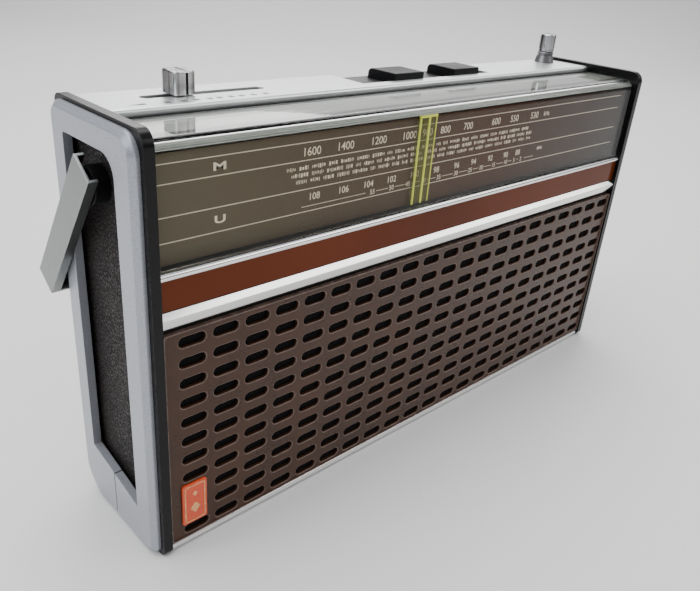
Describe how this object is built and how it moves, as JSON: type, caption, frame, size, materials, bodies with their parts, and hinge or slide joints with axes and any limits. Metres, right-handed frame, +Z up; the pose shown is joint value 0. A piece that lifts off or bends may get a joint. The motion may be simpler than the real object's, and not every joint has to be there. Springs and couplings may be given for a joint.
{
  "type": "portable transistor radio",
  "caption": "Portable transistor radio: slotted speaker grille, full-width dial behind an L-shaped clear cover, push keys, slider, telescopic antenna and folding carrying handle.",
  "frame": {"origin": "middle of the whole radio in X and Y, folded handle included, on the surface it stands on", "axes": "+X to the right as seen from the front, +Y to the back, +Z up; the speaker grille faces -Y"},
  "size_m": [0.289, 0.0658, 0.1626],
  "materials": {
    "case_plastic": "satin moulded black",
    "plate_plastic": "polished black",
    "silver_frame": "satin silver",
    "leatherette": "pebbled, black-brown",
    "top_aluminium": "fine brushed",
    "chrome_trim": "polished",
    "red_gloss": "deep red-brown gloss",
    "grille_plastic": "dark brown gloss",
    "grille_fabric": "black weave",
    "badge_enamel": "orange-red enamel",
    "clear_acrylic": "clear",
    "dial_print": "dark brown with cream print",
    "dial_black": "matt black",
    "pointer_acrylic": "fluorescent yellow-green",
    "steel": "zinc plated",
    "white_plastic": "natural nylon",
    "control_black": "matt black",
    "chrome_plastic": "bright",
    "antenna_chrome": "bright",
    "collar_metal": "dull",
    "ferrite": "dark sintered",
    "copper_wire": "enamelled",
    "board_laminate": "brown laminate",
    "components": "mixed",
    "holder_plastic": "grey moulded",
    "cell_wrap": "printed steel jacket",
    "contact_brass": "nickelled",
    "magnet": "dark",
    "cone_paper": "black pulp paper",
    "cord": "waxed thread",
    "handle_metal": "satin chromed"
  },
  "bodies": {
    "case": {"front_housing": "case_plastic", "rear_cover": "case_plastic", "top_frame": "case_plastic", "top_plate": "top_aluminium", "left_end_plate": "plate_plastic", "right_end_plate": "plate_plastic", "left_side_frame": "silver_frame", "right_side_frame": "silver_frame", "left_side_inset": "leatherette", "right_side_inset": "leatherette", "dial_cover": "clear_acrylic", "dial_scale": "dial_print", "dial_surround": "dial_black", "pointer_rail": "steel", "dial_cord": "cord", "tuning_capacitor": "steel", "inner_brackets": "steel", "trim_bar_upper": "chrome_trim", "gloss_band": "red_gloss", "trim_bar_middle": "chrome_trim", "trim_bar_lower": "chrome_trim", "speaker_grille": "grille_plastic", "grille_cloth": "grille_fabric", "badge": "badge_enamel", "speaker_basket": "steel", "speaker_cone": "cone_paper", "speaker_magnet": "magnet", "volume_slider_unit": "steel", "key_spring_left": "steel", "key_spring_right": "steel", "key_switch_unit": "holder_plastic", "antenna_tube": "antenna_chrome", "antenna_collar": "collar_metal", "ferrite_rod": "ferrite", "ferrite_coils": "copper_wire", "circuit_board": "board_laminate", "board_components": "components", "battery_holder": "holder_plastic", "batteries": "cell_wrap", "battery_contacts": "contact_brass", "earphone_socket": "control_black", "case_screws": "steel", "pivot_pins": "steel"},
    "pointer": {"dial_pointer": "pointer_acrylic"},
    "pulley_left": {"cord_pulley_left": "white_plastic"},
    "pulley_right": {"cord_pulley_right": "white_plastic"},
    "drum": {"dial_drum": "white_plastic"},
    "tuning": {"tuning_knob": "control_black", "tuning_shaft": "contact_brass"},
    "volume": {"volume_knob": "chrome_plastic"},
    "key_left_body": {"key_left": "control_black"},
    "key_right_body": {"key_right": "control_black"},
    "antenna_1": {"antenna_section_1": "antenna_chrome"},
    "antenna_2": {"antenna_section_2": "antenna_chrome"},
    "antenna_3": {"antenna_section_3": "antenna_chrome"},
    "antenna_end": {"antenna_tip": "antenna_chrome"},
    "door": {"battery_door": "case_plastic"},
    "handle": {"handle_strap": "handle_metal", "handle_grip": "control_black", "handle_end_blocks": "control_black"}
  },
  "joints": [
    {"name": "volume_slide", "type": "slide", "parent": "case", "child": "volume", "axis": [1, 0, 0], "range_m": [-0.012, 0.032]},
    {"name": "key_left_press", "type": "slide", "parent": "case", "child": "key_left_body", "axis": [0, 0, -1], "range_m": [0, 0.0022], "stiffness_N_per_m": 350, "springref_m": -0.0015, "deforming": ["key_spring_left"]},
    {"name": "key_right_press", "type": "slide", "parent": "case", "child": "key_right_body", "axis": [0, 0, -1], "range_m": [0, 0.0022], "stiffness_N_per_m": 350, "springref_m": -0.0015, "deforming": ["key_spring_right"]},
    {"name": "tuning_spin", "type": "hinge", "parent": "case", "child": "tuning", "pos_m": [0.118, -0.00473, 0.068], "axis": [1, 0, 0], "range_deg": [-918, 1242]},
    {"name": "pointer_slide", "type": "slide", "parent": "case", "child": "pointer", "axis": [1, 0, 0], "range_m": [-0.0561, 0.0759]},
    {"name": "pulley_left_spin", "type": "hinge", "parent": "case", "child": "pulley_left", "pos_m": [-0.122, -0.01039, 0.14], "axis": [0, 0, 1], "range_deg": [-1072, 1451]},
    {"name": "pulley_right_spin", "type": "hinge", "parent": "case", "child": "pulley_right", "pos_m": [0.113, -0.01338, 0.135], "axis": [0, 1, 0], "range_deg": [-644, 871]},
    {"name": "drum_spin", "type": "hinge", "parent": "case", "child": "drum", "pos_m": [0.104, -0.00739, 0.126], "axis": [0, 1, 0], "range_deg": [-311, 230]},
    {"name": "antenna_pull_1", "type": "slide", "parent": "case", "child": "antenna_1", "axis": [0, 0, 1], "range_m": [0, 0.112]},
    {"name": "antenna_pull_2", "type": "slide", "parent": "antenna_1", "child": "antenna_2", "axis": [0, 0, 1], "range_m": [0, 0.112]},
    {"name": "antenna_pull_3", "type": "slide", "parent": "antenna_2", "child": "antenna_3", "axis": [0, 0, 1], "range_m": [0, 0.112]},
    {"name": "antenna_pull_4", "type": "slide", "parent": "antenna_3", "child": "antenna_end", "axis": [0, 0, 1], "range_m": [0, 0.112]},
    {"name": "battery_door_hinge", "type": "hinge", "parent": "case", "child": "door", "pos_m": [0.034, 0.01672, 0.0055], "axis": [-1, 0, 0], "range_deg": [0, 80]},
    {"name": "handle_fold", "type": "hinge", "parent": "case", "child": "handle", "pos_m": [0, -0.00348, 0.1277], "axis": [1, 0, 0], "range_deg": [0, 143]}
  ],
  "couplings": [
    {"joint": "pointer_slide", "follows": "tuning_spin", "m_per_rad": 0.0035},
    {"joint": "pulley_left_spin", "follows": "tuning_spin", "ratio": 1.1667},
    {"joint": "pulley_right_spin", "follows": "tuning_spin", "ratio": 0.7},
    {"joint": "drum_spin", "follows": "tuning_spin", "ratio": -0.25},
    {"joint": "antenna_pull_2", "follows": "antenna_pull_1", "ratio": 1},
    {"joint": "antenna_pull_3", "follows": "antenna_pull_1", "ratio": 1},
    {"joint": "antenna_pull_4", "follows": "antenna_pull_1", "ratio": 1}
  ]
}
